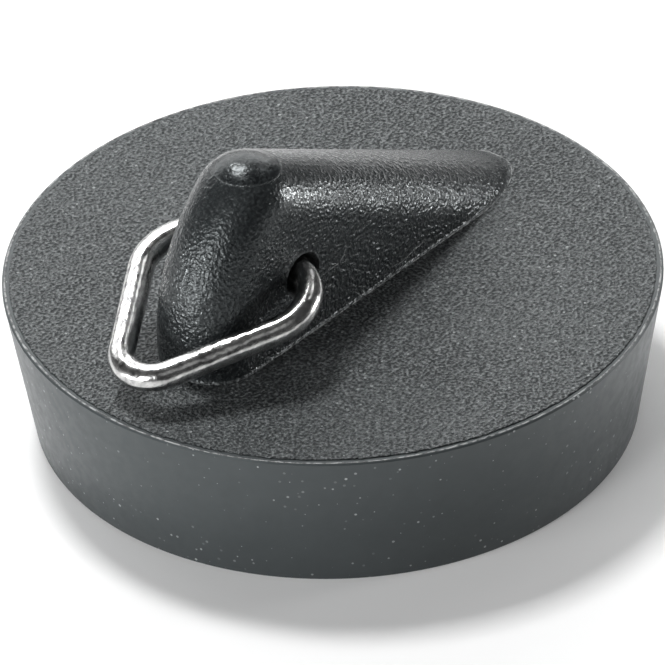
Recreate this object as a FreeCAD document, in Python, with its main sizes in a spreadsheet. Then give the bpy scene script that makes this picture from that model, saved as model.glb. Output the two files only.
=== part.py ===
import FreeCAD
import Part
import Sketcher
import math
import os

# Basin drain stopper: a tapered moulded rubber plug with a fin-shaped lug on its top face,
# and a triangular wire pull ring that swings in a hole across the lug.
# Frame: +Z up, origin at the centre of the plug's foot, the lug's length along X with its
# tall end towards -X, and the hole across the lug along Y. Lengths are in millimetres.

document = FreeCAD.newDocument("drain_stopper")

# Driving sizes, with angles in degrees
sizes = [
    # tapered disc
    ("rim_diameter", 45.5),
    ("foot_diameter", 41.75),
    ("rim_height", 11.0),
    ("face_step", 0.1),
    ("rim_band", 0.55),
    ("rim_bevel", 0.12),
    ("foot_bevel", 0.15),
    # hollow underside
    ("skirt_wall", 3.4),
    ("recess_depth", 6.5),
    ("recess_inset", 0.8),
    ("recess_bevel", 1.1),
    # lug on the top face
    ("lug_width", 7.4),
    ("lug_height", 14.0),
    ("lug_nose", 16.1),
    ("lug_tip", 17.7),
    ("lug_draft", 1.0),
    ("lug_root", 1.5),
    ("peak_setback", 8.6),
    ("peak_margin", 0.3),
    ("front_radius", 15.0),
    ("crown_flat", 0.2),
    ("cut_overrun", 2.0),
    # hole across the lug
    ("hole_diameter", 3.1),
    ("hole_setback", 7.1),
    ("hole_rise", 5.07),
    ("hole_bevel", 0.15),
    # wire pull ring
    ("wire_diameter", 1.9),
    ("nose_gap", 0.37),
    ("apex_radius", 2.5),
    ("corner_radius", 3.6),
    ("bend_inset", 0.76),
    ("wire_end_gap", 0.4),
    ("ring_offset", 0.45),
    ("bar_lift", 0.38),
    ("rest_gap", 1.35),
]

# Sizes that follow from the driving ones
rest_drop = "bar_height - face_height - Sizes.rest_gap - wire_radius"
followers = [
    ("rim_radius", "Sizes.rim_diameter / 2"),
    ("foot_radius", "Sizes.foot_diameter / 2"),
    ("face_radius", "rim_radius - Sizes.rim_band"),
    ("face_height", "Sizes.rim_height + Sizes.face_step"),
    ("mouth_radius", "foot_radius - Sizes.skirt_wall"),
    ("roof_radius", "mouth_radius - Sizes.recess_inset"),
    ("root_height", "face_height - Sizes.lug_root"),
    ("draft_slope", "tan(Sizes.lug_draft * 1 deg)"),
    ("side_bottom", "root_height - Sizes.cut_overrun"),
    ("side_top", "face_height + Sizes.lug_height + Sizes.cut_overrun"),
    ("side_low", "Sizes.lug_width / 2 + (face_height - side_bottom) * draft_slope"),
    ("side_high", "Sizes.lug_width / 2 - (side_top - face_height) * draft_slope"),
    ("side_out", "side_low + 2 * Sizes.cut_overrun"),
    ("blank_width", "2 * side_low + 2 * Sizes.cut_overrun"),
    ("crown_half", "Sizes.lug_width / 2 - Sizes.lug_height * draft_slope"),
    ("edge_round", "crown_half - Sizes.crown_flat / 2"),
    ("peak_radius", "edge_round + Sizes.peak_margin"),
    ("peak_height", "face_height + Sizes.lug_height - peak_radius"),
    ("hole_radius", "Sizes.hole_diameter / 2"),
    ("hole_height", "face_height + Sizes.hole_rise"),
    ("wire_radius", "Sizes.wire_diameter / 2"),
    ("bar_height", "hole_height + Sizes.bar_lift"),
    ("bar_half", "Sizes.lug_width / 2 - Sizes.bend_inset"),
    ("end_half", "Sizes.wire_end_gap / 2"),
    ("nose_centre", "Sizes.lug_nose - Sizes.hole_setback - edge_round"),
    ("nose_clear", "edge_round + Sizes.nose_gap + Sizes.ring_offset + wire_radius"),
    ("bend_span", "hypot(nose_centre - Sizes.corner_radius; bar_half)"),
    ("leg_turn", "asin((Sizes.corner_radius - nose_clear) / bend_span)"),
    ("leg_slope", "atan2(bar_half; nose_centre - Sizes.corner_radius) + leg_turn"),
    ("apex_centre", "nose_centre + (nose_clear - Sizes.apex_radius) / sin(leg_slope)"),
    ("ring_reach", "apex_centre + Sizes.apex_radius"),
    ("rest_lean", "asin((" + rest_drop + ") / ring_reach)"),
]


def fill_sheet(name, rows, lead):
    """A sheet with one named value to a row."""
    sheet = document.addObject("Spreadsheet::Sheet", name)
    for row, (alias, content) in enumerate(rows, start=1):
        sheet.set("A%d" % row, alias)
        sheet.set("B%d" % row, lead + str(content))
        sheet.setAlias("B%d" % row, alias)
    document.recompute()
    return sheet


driving = fill_sheet("Sizes", sizes, "")
derived = fill_sheet("Follow", followers, "=")


def cell(alias):
    """The name of a size's cell, for expressions."""
    return "Sizes." + alias if alias in dict(sizes) else "Follow." + alias


def size(alias):
    """The present value of a size."""
    sheet = driving if alias in dict(sizes) else derived
    return float(sheet.get(alias))


# Sketch curves and constraints

START, END, CENTRE = range(1, 4)
X_AXIS, Y_AXIS = range(-1, -3, -1)


def new_sketch(body, name, role):
    """A sketch on one of a body's own origin planes."""
    sketch = body.newObject("Sketcher::SketchObject", name)
    for feature in body.Origin.OriginFeatures:
        if feature.Role == role:
            sketch.AttachmentSupport = [(feature, "")]
    sketch.MapMode = "FlatFace"
    return sketch


def line(first, second):
    """A straight curve between two points."""
    start = FreeCAD.Vector(first[0], first[1], 0)
    end = FreeCAD.Vector(second[0], second[1], 0)
    return Part.LineSegment(start, end)


def arc(centre, radius, start_angle, end_angle):
    """A counter-clockwise arc, with its angles in radians."""
    middle = FreeCAD.Vector(centre[0], centre[1], 0)
    circle = Part.Circle(middle, FreeCAD.Vector(0, 0, 1), radius)
    return Part.ArcOfCircle(circle, start_angle, end_angle)


def heading(centre, point):
    """The direction from a centre to a point, in radians."""
    return math.atan2(point[1] - centre[1], point[0] - centre[0])


def polar(point, distance, angle):
    """The point at a distance and direction from another."""
    return (point[0] + distance * math.cos(angle), point[1] + distance * math.sin(angle))


def tie(sketch, kind, *ends):
    """A constraint without a size."""
    sketch.addConstraint(Sketcher.Constraint(kind, *ends))


def chain(sketch, kind, curves):
    """The same joint between each curve's end and the next curve's start."""
    for first, second in zip(curves, curves[1:]):
        tie(sketch, kind, first, END, second, START)


def drive(sketch, alias, kind, *ends):
    """A dimension bound to a size."""
    number = sketch.addConstraint(Sketcher.Constraint(kind, *ends, size(alias)))
    sketch.setExpression("Constraints[%d]" % number, cell(alias))


def right_of_origin(sketch, alias, curve, end):
    drive(sketch, alias, "DistanceX", X_AXIS, START, curve, end)


def left_of_origin(sketch, alias, curve, end):
    drive(sketch, alias, "DistanceX", curve, end, X_AXIS, START)


def above_origin(sketch, alias, curve, end):
    drive(sketch, alias, "DistanceY", X_AXIS, START, curve, end)


# Picking faces and edges by where they are, and features that work on them

same_length = 0.001
least_cut = 0.001
facing_share = 0.9


def looks_across(face):
    """A flat face that looks along Y, but for its draft."""
    return isinstance(face.Surface, Part.Plane) and abs(face.normalAt(0, 0).y) > facing_share


def names(kind, shapes, test):
    """The names of the faces or edges that pass a test."""
    return [kind + str(number) for number, shape in enumerate(shapes, start=1) if test(shape)]


def circle_at(radius, height):
    """A test for a level circular edge of the plug."""
    def test(edge):
        if not isinstance(edge.Curve, Part.Circle):
            return False
        level = abs(edge.Curve.Center.z - height) < same_length
        return level and abs(edge.Curve.Radius - radius) < same_length
    return test


def cut_through(body, name, sketch):
    """A pocket right through a body, both ways from its sketch, that must take something away."""
    before = body.Tip.Shape.Volume
    pocket = body.newObject("PartDesign::Pocket", name)
    pocket.Profile = sketch
    pocket.Type = "ThroughAll"
    pocket.SideType = "Symmetric"
    document.recompute()
    if before - pocket.Shape.Volume < least_cut:
        raise RuntimeError("cuts nothing: " + name)
    return pocket


def dress_edges(body, kind, measure, name, alias, edges):
    """A fillet or chamfer of the named edges of a body's last feature."""
    base = body.Tip
    dressing = body.newObject("PartDesign::" + kind, name)
    dressing.Base = (base, edges)
    dressing.setExpression(measure, cell(alias))
    document.recompute()


def round_edges(body, name, alias, edges):
    dress_edges(body, "Fillet", "Radius", name, alias, edges)


def bevel_edges(body, name, alias, edges):
    dress_edges(body, "Chamfer", "Size", name, alias, edges)


# Plug: the lug first, then the disc that carries it, moulded as one piece

plug = document.addObject("PartDesign::Body", "plug_body")
plug.Label = "plug_body"

# Lug: a side outline of a leaning front arc, a round peak and a straight sloping ridge.
# The ridge meets the top face at the tip, and the front arc meets it at the nose.

peak = (-size("peak_setback"), size("peak_height"))
tip = (size("lug_tip"), size("face_height"))
nose = (-size("lug_nose"), size("face_height"))
ridge_slope = heading(tip, peak) - math.asin(size("peak_radius") / math.dist(tip, peak))
ridge_top = polar(peak, size("peak_radius"), ridge_slope - math.pi / 2)
ridge_foot = (tip[0] - size("lug_root") / math.tan(ridge_slope), size("root_height"))
inner_radius = size("front_radius") - size("peak_radius")
span = math.dist(nose, peak)
along = (size("front_radius") ** 2 - inner_radius ** 2 + span ** 2) / (2 * span)
front_angle = heading(nose, peak) - math.acos(along / size("front_radius"))
front_centre = polar(nose, size("front_radius"), front_angle)
front_top = polar(peak, size("peak_radius"), heading(front_centre, peak))
foot_drop = front_centre[1] - size("root_height")
foot_reach = math.sqrt(size("front_radius") ** 2 - foot_drop ** 2)
front_foot = (front_centre[0] - foot_reach, size("root_height"))

outline = new_sketch(plug, "LugOutline", "XZ_Plane")
outline.addGeometry(line(ridge_foot, ridge_top))
outline.addGeometry(arc(peak, size("peak_radius"), heading(peak, ridge_top), heading(peak, front_top)))
foot_turn = heading(front_centre, front_foot) % (2 * math.pi)
outline.addGeometry(arc(front_centre, size("front_radius"), heading(front_centre, front_top), foot_turn))
outline.addGeometry(line(front_foot, ridge_foot))
outline.addGeometry(Part.Point(FreeCAD.Vector(tip[0], tip[1], 0)), True)
outline.addGeometry(Part.Point(FreeCAD.Vector(nose[0], nose[1], 0)), True)
RIDGE, PEAK, FRONT, ROOT, TIP, NOSE = range(6)
chain(outline, "Tangent", [RIDGE, PEAK, FRONT])
chain(outline, "Coincident", [FRONT, ROOT, RIDGE])
tie(outline, "Horizontal", ROOT)
tie(outline, "PointOnObject", TIP, START, RIDGE)
tie(outline, "PointOnObject", NOSE, START, FRONT)
drive(outline, "peak_radius", "Radius", PEAK)
drive(outline, "front_radius", "Radius", FRONT)
left_of_origin(outline, "peak_setback", PEAK, CENTRE)
above_origin(outline, "peak_height", PEAK, CENTRE)
above_origin(outline, "root_height", ROOT, START)
right_of_origin(outline, "lug_tip", TIP, START)
above_origin(outline, "face_height", TIP, START)
left_of_origin(outline, "lug_nose", NOSE, START)
above_origin(outline, "face_height", NOSE, START)

lug = plug.newObject("PartDesign::Pad", "Lug")
lug.Profile = outline
lug.SideType = "Symmetric"
lug.setExpression("Length", cell("blank_width"))
document.recompute()

# The lug's two sides lean in for release from the mould, and its crown is rounded almost full

wedges = new_sketch(plug, "LugSides", "YZ_Plane")
for side in (1, -1):
    wedge = [
        (side * size("side_low"), size("side_bottom")),
        (side * size("side_high"), size("side_top")),
        (side * size("side_out"), size("side_top")),
        (side * size("side_out"), size("side_bottom")),
    ]
    for corner, following in zip(wedge, wedge[1:] + wedge[:1]):
        wedges.addGeometry(line(corner, following))
LEAN, OVER, OUT, UNDER, LEAN_BACK, OVER_BACK, OUT_BACK, UNDER_BACK = range(8)
chain(wedges, "Coincident", [LEAN, OVER, OUT, UNDER, LEAN])
chain(wedges, "Coincident", [LEAN_BACK, OVER_BACK, OUT_BACK, UNDER_BACK, LEAN_BACK])
tie(wedges, "Horizontal", OVER)
tie(wedges, "Horizontal", UNDER)
tie(wedges, "Vertical", OUT)
for front, back in zip((LEAN, OVER, OUT, UNDER), (LEAN_BACK, OVER_BACK, OUT_BACK, UNDER_BACK)):
    tie(wedges, "Symmetric", front, START, back, START, Y_AXIS)
right_of_origin(wedges, "side_low", LEAN, START)
right_of_origin(wedges, "side_high", LEAN, END)
right_of_origin(wedges, "side_out", OUT, START)
above_origin(wedges, "side_bottom", LEAN, START)
above_origin(wedges, "side_top", LEAN, END)

leaning = cut_through(plug, "LugLean", wedges)


def is_crown_edge(edge):
    """An edge between one of the lug's sides and its front, peak or ridge."""
    around = leaning.Shape.ancestorsOfType(edge, Part.Face)
    sides = [face for face in around if looks_across(face)]
    above_root = edge.CenterOfMass.z > size("root_height") + same_length
    return len(sides) == 1 and above_root


round_edges(plug, "CrownRound", "edge_round", names("Edge", leaning.Shape.Edges, is_crown_edge))

# Tapered disc with its hollow underside, turned about Z

section = new_sketch(plug, "DiscSection", "XZ_Plane")
corners = [
    (size("mouth_radius"), 0),
    (size("foot_radius"), 0),
    (size("rim_radius"), size("rim_height")),
    (size("face_radius"), size("rim_height")),
    (size("face_radius"), size("face_height")),
    (0, size("face_height")),
    (0, size("recess_depth")),
    (size("roof_radius"), size("recess_depth")),
]
for corner, following in zip(corners, corners[1:] + corners[:1]):
    section.addGeometry(line(corner, following))
FOOT, WALL, BAND, STEP, FACE, AXIS, ROOF, RECESS = range(len(corners))
chain(section, "Coincident", [FOOT, WALL, BAND, STEP, FACE, AXIS, ROOF, RECESS, FOOT])
tie(section, "PointOnObject", FOOT, START, X_AXIS)
tie(section, "PointOnObject", FOOT, END, X_AXIS)
tie(section, "PointOnObject", AXIS, START, Y_AXIS)
tie(section, "PointOnObject", AXIS, END, Y_AXIS)
tie(section, "Horizontal", BAND)
tie(section, "Vertical", STEP)
tie(section, "Horizontal", FACE)
tie(section, "Horizontal", ROOF)
right_of_origin(section, "mouth_radius", FOOT, START)
right_of_origin(section, "foot_radius", FOOT, END)
right_of_origin(section, "rim_radius", WALL, END)
right_of_origin(section, "face_radius", STEP, START)
right_of_origin(section, "roof_radius", RECESS, START)
above_origin(section, "rim_height", WALL, END)
above_origin(section, "face_height", FACE, END)
above_origin(section, "recess_depth", ROOF, START)

disc = plug.newObject("PartDesign::Revolution", "Disc")
disc.Profile = section
disc.ReferenceAxis = (section, ["V_Axis"])
document.recompute()

# Hole across the lug, with a small bevel at each mouth

bore = new_sketch(plug, "HoleCircle", "XZ_Plane")
hole_centre = FreeCAD.Vector(-size("hole_setback"), size("hole_height"), 0)
bore.addGeometry(Part.Circle(hole_centre, FreeCAD.Vector(0, 0, 1), size("hole_radius")))
drive(bore, "hole_radius", "Radius", 0)
left_of_origin(bore, "hole_setback", 0, CENTRE)
above_origin(bore, "hole_height", 0, CENTRE)

hole = cut_through(plug, "Hole", bore)


def is_hole_mouth(edge):
    """An edge where the hole leaves one of the lug's sides."""
    around = hole.Shape.ancestorsOfType(edge, Part.Face)
    walls = [face for face in around if isinstance(face.Surface, Part.Cylinder)]
    bores = [face for face in walls if abs(face.Surface.Radius - size("hole_radius")) < same_length]
    sides = [face for face in around if looks_across(face)]
    return len(bores) == 1 and len(sides) == 1


bevel_edges(plug, "HoleBevel", "hole_bevel", names("Edge", hole.Shape.Edges, is_hole_mouth))

# Bevelled edges of the disc

disc_bevels = [
    ("FootBevel", "foot_bevel", "foot_radius", 0),
    ("MouthBevel", "foot_bevel", "mouth_radius", 0),
    ("RimBevel", "rim_bevel", "rim_radius", size("rim_height")),
    ("RoofBevel", "recess_bevel", "roof_radius", size("recess_depth")),
]
for name, alias, radius_alias, height in disc_bevels:
    found = names("Edge", plug.Tip.Shape.Edges, circle_at(size(radius_alias), height))
    bevel_edges(plug, name, alias, found)

# Pull ring: one round wire bent to a triangle. Its straight bar lies in the hole, with the
# two wire ends facing each other there. It is drawn flat, with the bar along Y and the apex
# towards -X. Then it leans down about the bar until its legs bear on the lug's nose, which
# holds the apex a little above the top face.

ring = document.addObject("PartDesign::Body", "pull_ring")
ring.Label = "pull_ring"

corner_left = (-size("corner_radius"), size("bar_half"))
corner_right = (-size("corner_radius"), -size("bar_half"))
apex = (-size("apex_centre"), 0)
outward = math.radians(size("leg_slope")) + math.pi / 2

path = new_sketch(ring, "WirePath", "XY_Plane")
wire_curves = [
    line((0, size("end_half")), (0, size("bar_half"))),
    arc(corner_left, size("corner_radius"), 0, outward),
    line(polar(corner_left, size("corner_radius"), outward), polar(apex, size("apex_radius"), outward)),
    arc(apex, size("apex_radius"), outward, 2 * math.pi - outward),
    line(polar(apex, size("apex_radius"), -outward), polar(corner_right, size("corner_radius"), -outward)),
    arc(corner_right, size("corner_radius"), 2 * math.pi - outward, 2 * math.pi),
    line((0, -size("bar_half")), (0, -size("end_half"))),
]
path.addGeometry(wire_curves)
BAR_LEFT, BEND_LEFT, LEG_LEFT, APEX, LEG_RIGHT, BEND_RIGHT, BAR_RIGHT = range(len(wire_curves))
chain(path, "Tangent", [BAR_LEFT, BEND_LEFT, LEG_LEFT, APEX, LEG_RIGHT, BEND_RIGHT, BAR_RIGHT])
tie(path, "PointOnObject", BAR_LEFT, START, Y_AXIS)
tie(path, "Vertical", BAR_LEFT)
tie(path, "Symmetric", BAR_LEFT, START, BAR_RIGHT, END, X_AXIS)
tie(path, "Symmetric", BAR_LEFT, END, BAR_RIGHT, START, X_AXIS)
tie(path, "Equal", BEND_LEFT, BEND_RIGHT)
tie(path, "PointOnObject", APEX, CENTRE, X_AXIS)
above_origin(path, "end_half", BAR_LEFT, START)
above_origin(path, "bar_half", BAR_LEFT, END)
left_of_origin(path, "apex_centre", APEX, CENTRE)
drive(path, "corner_radius", "Radius", BEND_LEFT)
drive(path, "apex_radius", "Radius", APEX)

wire_section = new_sketch(ring, "WireSection", "XZ_Plane")
wire_section.addGeometry(Part.Circle(FreeCAD.Vector(0, 0, 0), FreeCAD.Vector(0, 0, 1), size("wire_radius")))
tie(wire_section, "Coincident", 0, CENTRE, X_AXIS, START)
drive(wire_section, "wire_radius", "Radius", 0)
wire_section.setExpression("AttachmentOffset.Base.z", "-" + cell("end_half"))
document.recompute()

wire = ring.newObject("PartDesign::AdditivePipe", "Wire")
wire.Profile = wire_section
wire.Spine = (path, [])
document.recompute()

bar_middle = "vector(-Sizes.hole_setback; Sizes.ring_offset; Follow.bar_height)"
rest_turn = "rotation(0; -Follow.rest_lean; 0)"
ring.setExpression("Placement", "placement(%s; %s)" % (bar_middle, rest_turn))
document.recompute()

# Check every feature and both solids, then write the parts

for feature in document.Objects:
    if "Invalid" in feature.State or "Error" in feature.State:
        raise RuntimeError("failed feature: " + feature.Label)

os.makedirs("parts", exist_ok=True)
for body in (plug, ring):
    solid = body.Shape
    if solid.isNull() or not solid.isValid() or len(solid.Solids) != 1:
        raise RuntimeError("bad solid: " + body.Label)
    print(body.Label, "volume", round(solid.Volume, 2))
for body in (plug, ring):
    body.Shape.exportStep("parts/%s.step" % body.Label)
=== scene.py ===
import math

import bmesh
import bpy
from mathutils import Matrix, Vector, noise
from mathutils.bvhtree import BVHTree


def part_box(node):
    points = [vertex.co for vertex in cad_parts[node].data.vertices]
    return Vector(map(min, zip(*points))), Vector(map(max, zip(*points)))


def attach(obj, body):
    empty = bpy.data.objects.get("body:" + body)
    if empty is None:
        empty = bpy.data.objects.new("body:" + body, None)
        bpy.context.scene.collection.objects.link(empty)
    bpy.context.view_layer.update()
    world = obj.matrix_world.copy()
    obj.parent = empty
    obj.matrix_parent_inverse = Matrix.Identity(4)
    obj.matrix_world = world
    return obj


# Basin drain stopper: a moulded black rubber plug with a bright wire pull ring.
# Lengths are in metres, with mm as the unit for small ones. The materials work in millimetres.

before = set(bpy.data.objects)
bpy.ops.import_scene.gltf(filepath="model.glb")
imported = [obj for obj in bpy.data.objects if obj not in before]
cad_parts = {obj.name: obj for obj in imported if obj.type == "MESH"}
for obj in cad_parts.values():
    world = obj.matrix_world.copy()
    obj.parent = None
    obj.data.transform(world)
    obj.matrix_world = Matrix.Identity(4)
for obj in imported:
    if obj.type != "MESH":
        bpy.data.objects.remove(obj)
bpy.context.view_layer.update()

mm = 0.001
upward = Vector((0, 0, 1))
plug_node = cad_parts["plug_body"]
ring_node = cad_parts["pull_ring"]
scene = bpy.context.scene

# Sizes of the plug that the trim and the materials follow.
# The pin mark's centre is given in x and y, the hole's in x and z.
_, plug_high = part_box("plug_body")
rim_radius = plug_high.x
rim_height = 11.0 * mm
face_height = 11.1 * mm
face_radius = 22.2 * mm
pin_centre = Vector((-8.45, 0.0)) * mm
pin_radius = 2.4 * mm
hole_centre = Vector((-7.1, 16.17)) * mm
hole_radius = 1.55 * mm

# Camera at the photograph's viewing angle, in a frame with x to the right and y away.
# Elevation and roll are in radians, and the lens goes with the sensor, in millimetres.
view_azimuth = math.radians(-48.4)
view_elevation = 0.6137976
view_roll = -0.0346556
view_distance = 1.055854
view_target = Vector((-0.000151, 0.0, 0.005891))
view_lens = 830.17
view_sensor = 36.0
to_row = Matrix.Rotation(view_azimuth, 4, "Z")

# Light: the point that the lamps face, the floor, and how bright the room's sides are
light_aim = 12.0 * mm * upward
floor_size = 30.0
floor_drop = 0.02 * mm
floor_white = (0.9, 0.9, 0.9, 1)
floor_glow = 0.10
pale_side = Vector((-0.8, 0.6, 0))
pale_wall = 0.28
dim_wall = 0.07
ceiling = 0.06
white = (1, 1, 1, 1)

# Heights on the plug, in millimetres, between which its finish changes
grain_step = (11.02, 11.07)
lug_step = (11.14, 11.45)
ridge_step = (20.0, 23.0)
peak_step = (21.5, 22.5)

# Colours of the rubber, darkest first, then of its thin flash and of the wire
# the hole's near black is painted shade inside the hole
hole_shade_black = (0.002, 0.002, 0.002, 1)
# the lug's creases are painted darker as their shade
crease_shade_black = (0.005, 0.006, 0.007, 1)
# the grain's pits are painted dark as their shade
pit_shade_black = (0.010, 0.011, 0.012, 1)
lug_black = (0.020, 0.023, 0.024, 1)
wall_dark = (0.031, 0.036, 0.038, 1)
wall_pale = (0.042, 0.048, 0.050, 1)
grain_grey = (0.052, 0.056, 0.057, 1)
# the pale peaks are partly wear and partly painted glints of the grain's sheen
wear_and_glint_grey = (0.182, 0.193, 0.195, 1)
speck_grey = (0.36, 0.38, 0.38, 1)
flash_dark = (0.045, 0.050, 0.052, 1)
# the flash's pale tone is partly painted highlight along the thin flash and seam lines
flash_highlight_pale = (0.34, 0.35, 0.35, 1)
wire_dark = (0.34, 0.34, 0.34, 1)
wire_bright = (0.64, 0.64, 0.63, 1)
cool_gloss = (0.92, 0.985, 1.0, 1)

# Tool marks on the wire, each at a place in millimetres with its reach
wire_dents = (((-15.8, -4.2, 15.6), 0.9), ((-14.9, -4.9, 15.9), 0.7), ((-16.9, -3.4, 15.1), 0.8))

# Fine lines on the lug's near side, as places in x and z in millimetres
hole_seam_path = [(-5.45, 15.08), (-3.4, 15.16), (-2.85, 15.5), (-2.55, 16.2)]
scuff_path = [(1.6, 11.95), (3.0, 11.75), (4.6, 12.05), (6.0, 12.15)]


def place_camera():
    """The photograph's camera."""
    back = Vector((0, -math.cos(view_elevation), math.sin(view_elevation)))
    right = Vector((1, 0, 0))
    top = back.cross(right)
    turn = Matrix((right, top, back)).transposed().to_4x4()
    spot = Matrix.Translation(view_target + view_distance * back)
    data = bpy.data.cameras.new("camera")
    data.lens = view_lens
    data.sensor_width = view_sensor
    data.clip_start = 0.01
    data.clip_end = 20
    camera = bpy.data.objects.new("camera", data)
    camera.matrix_world = to_row @ spot @ turn @ Matrix.Rotation(view_roll, 4, "Z")
    scene.collection.objects.link(camera)
    scene.camera = camera


def soft_box(name, azimuth, elevation, distance, width, height, radiance):
    """A rectangular soft light that faces the object, in degrees to the right of straight ahead and up."""
    turn, rise = math.radians(azimuth), math.radians(elevation)
    toward = Vector((math.cos(rise) * math.sin(turn), math.cos(rise) * math.cos(turn), math.sin(rise)))
    data = bpy.data.lights.new(name, "AREA")
    data.shape = "RECTANGLE"
    data.size = width
    data.size_y = height
    data.energy = radiance * math.pi * width * height
    lamp = bpy.data.objects.new(name, data)
    facing = toward.to_track_quat("Z", "Y").to_matrix().to_4x4()
    lamp.matrix_world = to_row @ Matrix.Translation(toward * distance + light_aim) @ facing
    lamp.visible_camera = False
    scene.collection.objects.link(lamp)


class Shader:
    """The node tree of a material or the world, with short calls for the nodes used here."""

    def __init__(self, owner, output):
        self.owner = owner
        owner.use_nodes = True
        self.tree = owner.node_tree
        self.tree.nodes.clear()
        self.output = self.node(output)

    def node(self, kind, inputs=(), **settings):
        """A new node with its settings and inputs."""
        made = self.tree.nodes.new("ShaderNode" + kind)
        for key, value in settings.items():
            setattr(made, key, value)
        for key, value in dict(inputs).items():
            self.feed(made.inputs[key], value)
        return made

    def feed(self, socket, value):
        """Links a node's output to a socket, or sets the socket to a plain value."""
        if isinstance(value, bpy.types.NodeSocket):
            self.tree.links.new(value, socket)
        else:
            socket.default_value = value

    def math(self, operation, first, second=0.0, clamp=False):
        made = self.node("Math", {0: first, 1: second}, operation=operation, use_clamp=clamp)
        return made.outputs[0]

    def plus(self, first, second):
        return self.math("ADD", first, second)

    def times(self, first, second):
        return self.math("MULTIPLY", first, second)

    def outside(self, mask):
        """Where a mask isn't."""
        return self.math("SUBTRACT", 1.0, mask)

    def ramp(self, value, low, high, start=0.0, end=1.0):
        """A smooth step from start to end, as a value goes from low to high."""
        made = self.node("MapRange", {"Value": value, "From Min": low, "From Max": high,
                                      "To Min": start, "To Max": end}, interpolation_type="SMOOTHSTEP")
        return made.outputs["Result"]

    def mix(self, share, first, second):
        """A mix of two numbers."""
        made = self.node("Mix", {"Factor": share, 2: first, 3: second}, data_type="FLOAT")
        return made.outputs[0]

    def blend(self, share, first, second):
        """A mix of two colours."""
        made = self.node("Mix", {"Factor": share, 6: first, 7: second}, data_type="RGBA")
        return made.outputs[2]

    def millimetres(self):
        """The place on the object, in millimetres."""
        place = self.node("TexCoord").outputs["Object"]
        return self.node("VectorMath", {0: place, "Scale": 1 / mm}, operation="SCALE").outputs[0]

    def from_axis(self, first, second, centre):
        """The distance in millimetres from an axis, by two coordinates and its centre in them."""
        along = self.math("SUBTRACT", first, centre.x / mm)
        across = self.math("SUBTRACT", second, centre.y / mm)
        return self.math("SQRT", self.plus(self.times(along, along), self.times(across, across)))

    def noise(self, place, per_mm, detail=2.0, roughness=0.5, distortion=0.0):
        made = self.node("TexNoise", {"Vector": place, "Scale": per_mm, "Detail": detail,
                                      "Roughness": roughness, "Distortion": distortion})
        return made.outputs["Fac"]

    def bump(self, height, strength, depth, normal=None):
        made = self.node("Bump", {"Height": height, "Strength": strength, "Distance": depth})
        if normal is not None:
            self.feed(made.inputs["Normal"], normal)
        return made.outputs["Normal"]

    def show(self, shown):
        """Ends the tree with a shader, and gives back the material or world."""
        self.feed(self.output.inputs["Surface"], shown)
        return self.owner

    def surface(self, **inputs):
        """Ends the tree with a principled surface."""
        made = self.node("BsdfPrincipled")
        for key, value in inputs.items():
            self.feed(made.inputs[key.replace("_", " ")], value)
        return self.show(made.outputs[0])


def new_material(name):
    return Shader(bpy.data.materials.new(name), "OutputMaterial")


def put_on(thing, material):
    """One material for a whole piece."""
    thing.data.materials.clear()
    thing.data.materials.append(material)


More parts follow.
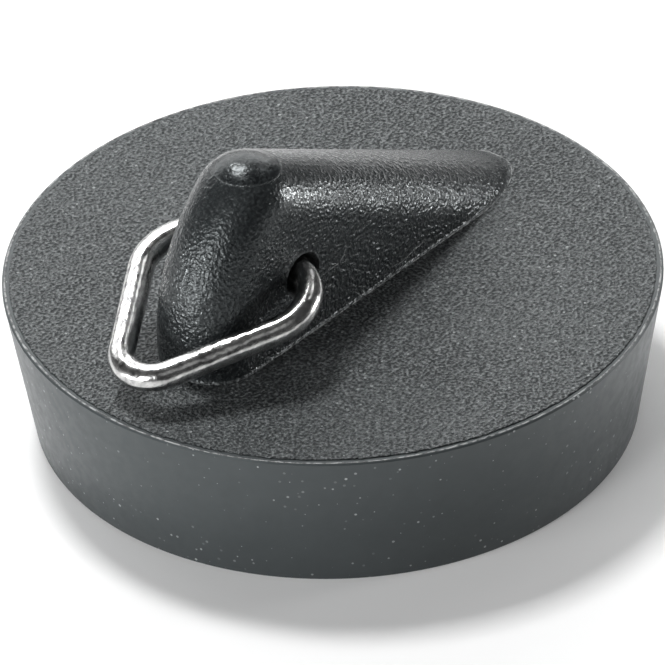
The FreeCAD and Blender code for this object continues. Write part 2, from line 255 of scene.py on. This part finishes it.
def rubber():
    """Black moulded rubber: a leathery grain on the top, a glossier one on the lug, a satin wall."""
    shader = new_material("black_rubber_moulded")
    place = shader.millimetres()
    x, y, z = shader.node("SeparateXYZ", {0: place}).outputs

    # where the mould was grained: the top face and the lug, but for the round pin mark
    upper = shader.ramp(z, *grain_step)
    on_lug = shader.ramp(z, *lug_step)
    pin_size = pin_radius / mm
    pin = shader.ramp(shader.from_axis(x, y, pin_centre), pin_size, pin_size - 0.12)
    pin = shader.times(shader.ramp(z, *peak_step), pin)
    grained = shader.times(upper, shader.outside(pin))

    # the hole's inside, painted near black as the shade in it, with a soft edge
    hole_size = hole_radius / mm
    hole_shade_mask = shader.ramp(shader.from_axis(x, z, hole_centre), hole_size + 0.25, hole_size + 0.10)

    # grain height: short winding ridges with finer pores, worn lower in places, and the lug's creases
    winding = shader.noise(place, per_mm=4.4, detail=1.0)
    pores = shader.noise(place, per_mm=9.0, detail=1.0)
    wear = shader.ramp(shader.noise(place, per_mm=0.08, detail=1.0), 0.35, 0.65, end=0.24)
    leather = shader.mix(wear, shader.plus(winding, shader.times(pores, 0.25)), 0.62)
    creases = shader.noise(place, per_mm=4.0, detail=1.0, roughness=0.45)
    relief = shader.mix(on_lug, leather, shader.times(creases, 0.50))

    # how deep the grain is: less on the worn ridge, and only a waviness on the pin mark
    worn_ridge = shader.ramp(z, *ridge_step, start=1.0, end=0.45)
    deep = shader.times(shader.plus(grained, shader.times(pin, 0.55)), worn_ridge)
    grain = shader.bump(shader.times(relief, deep), strength=1.0, depth=0.26 * mm)

    # long soft unevenness of moulded rubber, with a trace of fine roughness
    waves = shader.noise(place, per_mm=0.25)
    fine = shader.noise(place, per_mm=14.0)
    flow = shader.plus(waves, shader.times(fine, 0.02))
    normal = shader.bump(flow, strength=0.5, depth=0.12 * mm, normal=grain)

    # pale specks of filler and dust, of chance size and paleness, smaller on the lug
    cells = shader.node("TexVoronoi", {"Vector": place, "Scale": 2.3})
    size_chance, pale_chance, _ = shader.node("SeparateColor", {0: cells.outputs["Color"]}).outputs
    drift = shader.ramp(shader.noise(place, per_mm=0.16), 0.38, 0.56, start=0.45)
    spread = shader.times(drift, shader.ramp(on_lug, 0.0, 1.0, start=1.0, end=0.5))
    reach = shader.times(spread, shader.ramp(size_chance, 0.56, 0.86, end=0.25))
    speck = shader.math("LESS_THAN", cells.outputs["Distance"], reach)
    speck = shader.times(speck, shader.ramp(pale_chance, 0.2, 1.0, start=0.15, end=0.8))

    # colour: black pits between greyer ridges, which are rubbed pale at their highest; the black pits are
    # painted shade of the grain, and the pale peaks are partly wear and partly painted glints of its sheen
    wall = shader.blend(shader.noise(place, per_mm=0.6, detail=3.0), wall_dark, wall_pale)
    top = shader.blend(shader.ramp(leather, 0.50, 0.66), pit_shade_black, grain_grey)
    # painted shade: the lug's creases are coloured darker than its ridges
    lug = shader.blend(shader.ramp(creases, 0.40, 0.62), crease_shade_black, lug_black)
    skin = shader.blend(upper, wall, shader.blend(on_lug, top, lug))
    # painted shade: the hole's inside is coloured near black
    skin = shader.blend(hole_shade_mask, skin, hole_shade_black)
    # pale peaks: partly rubbed wear, partly painted glints
    wear_and_glints = shader.times(grained, shader.ramp(leather, 0.65, 0.83))
    wear_and_glints = shader.times(wear_and_glints, shader.ramp(on_lug, 0.0, 1.0, start=1.0, end=0.12))
    worn_and_glinting = shader.blend(wear_and_glints, skin, wear_and_glint_grey)
    colour = shader.blend(shader.times(speck, shader.outside(hole_shade_mask)), worn_and_glinting, speck_grey)

    # roughness: a satin wall, a glossier pin mark, a dull top, a glossy lug and a dead hole
    satin = shader.ramp(shader.noise(place, per_mm=1.4, detail=3.0), 0.3, 0.7, start=0.36, end=0.44)
    smooth_rough = shader.math("SUBTRACT", satin, shader.times(pin, 0.12))
    top_rough = shader.ramp(leather, 0.46, 0.66, start=0.72, end=0.40)
    lug_rough = shader.ramp(creases, 0.40, 0.65, start=0.36, end=0.18)
    rough = shader.mix(grained, smooth_rough, top_rough)
    rough = shader.mix(shader.times(on_lug, grained), rough, lug_rough)
    rough = shader.mix(hole_shade_mask, rough, 0.9)
    return shader.surface(Base_Color=colour, Roughness=rough, Normal=normal, IOR=1.52,
                          Specular_Tint=cool_gloss)


def flash_rubber():
    """Thin rubber of the rim's flash and the mould's seam lines, rubbed paler and partly painted pale as
    the highlight along them.
    """
    shader = new_material("black_rubber_flash")
    place = shader.millimetres()
    tone = shader.noise(place, per_mm=2.2, detail=3.0)
    # the pale tones are partly painted highlight along the flash and seam lines
    colour = shader.blend(shader.ramp(tone, 0.38, 0.64), flash_dark, flash_highlight_pale)
    normal = shader.bump(shader.noise(place, per_mm=6.0), strength=0.6, depth=0.05 * mm)
    rough = shader.ramp(tone, 0.3, 0.7, start=0.30, end=0.42)
    return shader.surface(Base_Color=colour, Roughness=rough, Normal=normal, IOR=1.5)


def bright_wire():
    """Polished plated wire, with faint drawing marks and a few tool dents."""
    shader = new_material("bright_wire_polished")
    place = shader.millimetres()
    tone = shader.ramp(shader.noise(place, per_mm=1.6, detail=4.0, roughness=0.65), 0.32, 0.62)
    colour = shader.blend(tone, wire_dark, wire_bright)
    waves = shader.noise(place, per_mm=0.9)
    cells = shader.node("TexVoronoi", {"Vector": place, "Scale": 0.8, "Smoothness": 0.6},
                        feature="SMOOTH_F1")
    marks = shader.noise(place, per_mm=9.0, detail=3.0, distortion=0.4)
    uneven = shader.plus(shader.times(cells.outputs["Distance"], 0.35), shader.times(marks, 0.10))
    height = shader.plus(shader.times(waves, 0.8), uneven)
    for spot, reach in wire_dents:
        away = shader.node("VectorMath", {0: place, 1: spot}, operation="DISTANCE").outputs["Value"]
        height = shader.plus(height, shader.ramp(away, 0.35 * reach, reach, start=-0.7, end=0.0))
    normal = shader.bump(height, strength=0.40, depth=0.16 * mm)
    rough = shader.ramp(shader.noise(place, per_mm=2.5, detail=4.0), 0.3, 0.7, start=0.15, end=0.27)
    return shader.surface(Base_Color=colour, Metallic=1.0, Roughness=rough, Normal=normal)


# Trim that sits on the plug's surface

plug_tree = BVHTree.FromPolygons([vertex.co for vertex in plug_node.data.vertices],
                                 [face.vertices for face in plug_node.data.polygons])


def bead(name, stations, closed, material):
    """A thin half-round bead on a surface, from stations of a point, a normal, a width and a height."""
    shape = bmesh.new()
    steps = 6
    count = len(stations)
    rows = []
    for i, (point, normal, width, height) in enumerate(stations):
        before = stations[i - 1][0] if closed or i > 0 else point
        after = stations[(i + 1) % count][0] if closed or i < count - 1 else point
        along = (after - before).normalized()
        across = normal.cross(along).normalized()
        row = []
        for k in range(steps + 1):
            turn = math.pi * k / steps
            side = across * math.cos(turn) * width / 2
            rise = normal * (math.sin(turn) * height * 2 - height)
            row.append(shape.verts.new(point + side + rise))
        rows.append(row)
    pairs = zip(rows, rows[1:] + rows[:1]) if closed else zip(rows, rows[1:])
    for first, second in pairs:
        for k in range(steps):
            shape.faces.new((first[k], first[k + 1], second[k + 1], second[k]))
        shape.faces.new((first[steps], first[0], second[0], second[steps]))
    if not closed:
        shape.faces.new(rows[0])
        shape.faces.new(list(reversed(rows[-1])))
    bmesh.ops.recalc_face_normals(shape, faces=shape.faces)
    data = bpy.data.meshes.new(name)
    shape.to_mesh(data)
    shape.free()
    data.shade_smooth()
    piece = bpy.data.objects.new(name, data)
    scene.collection.objects.link(piece)
    put_on(piece, material)
    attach(piece, "plug")


def ripple(spot, scale, seed):
    """A repeatable unevenness between -1 and 1."""
    return noise.noise(Vector(spot) * scale + Vector((seed, 0, 0)))


def spokes(count):
    """Evenly spaced unit vectors, once round."""
    for i in range(count):
        turn = 2 * math.pi * i / count
        yield Vector((math.cos(turn), math.sin(turn), 0))


def rim_flash(material):
    """Irregular thin flash along the rim, where the mould's halves met."""
    stations = []
    for spoke in spokes(900):
        slow = ripple(spoke, 5.0, 3.0)
        quick = ripple(spoke, 42.0, 9.0)
        radius = rim_radius - (0.19 + 0.05 * slow + 0.03 * quick) * mm
        width = (0.15 + 0.06 * slow + 0.07 * quick) * mm
        height = max(0.008, 0.022 + 0.02 * slow + 0.03 * quick) * mm
        stations.append((spoke * radius + rim_height * upward, upward, width, height))
    bead("rim_flash", stations, True, material)


def plate_edge(material):
    """Ragged grain along the top plate's edge, where the mould's texture ends."""
    stations = []
    for spoke in spokes(2600):
        lump = max(0.0, 0.25 + ripple(spoke, 75.0, 4.0) + 0.5 * ripple(spoke, 31.0, 6.0))
        point = spoke * face_radius + (face_height - 0.07 * mm) * upward
        normal = (spoke + 0.6 * upward).normalized()
        width = (0.10 + 0.12 * lump) * mm
        height = (0.02 + 0.09 * lump) * mm
        stations.append((point, normal, width, height))
    bead("plate_edge", stations, True, material)


def pin_crease(material):
    """Round crease on the lug's peak, left by the mould's pin."""
    stations = []
    for spoke in spokes(96):
        spot = pin_centre + pin_radius * spoke.xy
        above = Vector((spot.x, spot.y, plug_high.z + 5 * mm))
        point, normal, _, _ = plug_tree.ray_cast(above, -upward)
        stations.append((point, normal, 0.10 * mm, 0.012 * mm))
    bead("pin_crease", stations, True, material)


def side_seam(name, path, width, height, material):
    """A fine raised line on the lug's near side, thinner towards its ends."""
    beside = -12.0
    steps = 10
    hits = []
    for (x1, z1), (x2, z2) in zip(path, path[1:]):
        for k in range(steps):
            share = k / steps
            spot = Vector((x1 + (x2 - x1) * share, beside, z1 + (z2 - z1) * share)) * mm
            point, normal, _, _ = plug_tree.ray_cast(spot, Vector((0, 1, 0)))
            hits.append((point, normal))
    count = len(hits)
    stations = []
    for i, (point, normal) in enumerate(hits):
        end = max(0.2, min(1.0, 4 * i / count, 4 * (count - i) / count))
        wave = 1 + 0.4 * ripple(point, 2500.0, 5.0)
        stations.append((point, normal, width * wave * end, height * wave * end))
    bead(name, stations, False, material)


def foot_outline():
    """The closed outline of the lug just above the top face, from its nose round."""
    cut = bmesh.new()
    cut.from_mesh(plug_node.data)
    bmesh.ops.remove_doubles(cut, verts=cut.verts, dist=0.001 * mm)
    level = (face_height + 0.03 * mm) * upward
    geometry = cut.verts[:] + cut.edges[:] + cut.faces[:]
    made = bmesh.ops.bisect_plane(cut, geom=geometry, plane_co=level, plane_no=upward, dist=1e-9)
    links = {}
    for edge in made["geom_cut"]:
        if isinstance(edge, bmesh.types.BMEdge):
            first, second = edge.verts
            links.setdefault(first, []).append(second)
            links.setdefault(second, []).append(first)
    start = min(links, key=lambda vertex: vertex.co.x)
    outline, last, here = [], None, start
    while True:
        outline.append(here.co.copy())
        following = [vertex for vertex in links[here] if vertex is not last]
        if not following:
            break
        last, here = here, following[0]
        if here is start:
            break
    cut.free()
    return outline + outline[:1]


def base_seam(material):
    """Fine raised line along the lug's foot, where the mould's insert sat, fading out round the nose."""
    outline = foot_outline()
    length = [0.0]
    for first, second in zip(outline, outline[1:]):
        length.append(length[-1] + (second - first).length)
    count = 420
    fade_start = -14.0 * mm
    fade_length = 4.0 * mm
    stations = []
    k = 0
    for i in range(count):
        goal = length[-1] * i / count
        while length[k + 1] < goal:
            k += 1
        share = (goal - length[k]) / (length[k + 1] - length[k])
        point = outline[k].lerp(outline[k + 1], share)
        _, normal, _, _ = plug_tree.find_nearest(point + 0.05 * mm * upward)
        out = Vector((normal.x, normal.y, 0)).normalized()
        shown = min(1.0, max(0.15, (point.x - fade_start) / fade_length))
        wave = shown * (1 + 0.35 * ripple(point, 1500.0, 2.0))
        stations.append((point, (out + upward).normalized(), 0.085 * mm * wave, 0.035 * mm * wave))
    bead("base_seam", stations, True, material)


# Floor, room and lights

def white_floor():
    """Plain pale floor that shows white to the camera and keeps the object's shadow."""
    bpy.ops.mesh.primitive_plane_add(size=floor_size, location=(0, 0, -floor_drop))
    floor = bpy.context.object
    floor.name = "floor"
    shader = new_material("floor_white")
    path = shader.node("LightPath").outputs
    mirrored = shader.plus(path["Is Glossy Ray"], path["Is Transmission Ray"])
    seen = shader.math("ADD", path["Is Camera Ray"], mirrored, clamp=True)
    lit = shader.node("BsdfDiffuse", {"Color": floor_white})
    glow = shader.node("Emission", {"Color": white, "Strength": shader.times(seen, floor_glow)})
    both = shader.node("AddShader", {0: lit.outputs[0], 1: glow.outputs[0]})
    put_on(floor, shader.show(both.outputs[0]))


def studio_room():
    """A studio room: a pale wall behind on the left, dimmer to the right, and a dim ceiling."""
    shader = Shader(bpy.data.worlds.new("studio"), "OutputWorld")
    toward = shader.node("TexCoord").outputs["Generated"]
    height = shader.node("SeparateXYZ", {0: toward}).outputs["Z"]
    pale = to_row.to_3x3() @ pale_side
    side = shader.node("VectorMath", {0: toward, 1: pale}, operation="DOT_PRODUCT").outputs["Value"]
    wall = shader.ramp(side, -0.7, 0.7, start=dim_wall, end=pale_wall)
    level = shader.ramp(height, 0.05, 0.55, start=wall, end=ceiling)
    background = shader.node("Background", {"Color": white, "Strength": level})
    scene.world = shader.show(background.outputs[0])


scene.view_settings.view_transform = "Standard"
place_camera()
white_floor()
studio_room()
soft_box("key", azimuth=-28, elevation=65, distance=0.60, width=0.10, height=0.14, radiance=57.0)
soft_box("overhead", azimuth=-15, elevation=56, distance=0.75, width=0.50, height=0.20, radiance=0.28)
soft_box("back", azimuth=-14, elevation=30, distance=0.22, width=0.36, height=0.14, radiance=2.5)
soft_box("front_left", azimuth=-142, elevation=20, distance=0.50, width=0.16, height=0.22, radiance=9.2)
soft_box("low_left", azimuth=-118, elevation=5, distance=0.50, width=0.16, height=0.07, radiance=38.0)
soft_box("low_right", azimuth=79, elevation=3, distance=0.20, width=0.04, height=0.025, radiance=60.0)
soft_box("right_high", azimuth=45, elevation=52, distance=0.60, width=0.12, height=0.12, radiance=2.7)
soft_box("front_fill", azimuth=168, elevation=50, distance=0.60, width=0.45, height=0.24, radiance=0.32)

rubber_material = rubber()
flash_material = flash_rubber()
put_on(plug_node, rubber_material)
put_on(ring_node, bright_wire())
rim_flash(flash_material)
plate_edge(rubber_material)
pin_crease(rubber_material)
base_seam(flash_material)
side_seam("hole_seam", hole_seam_path, 0.09 * mm, 0.016 * mm, flash_material)
side_seam("scuff_upper", scuff_path, 0.06 * mm, 0.010 * mm, flash_material)
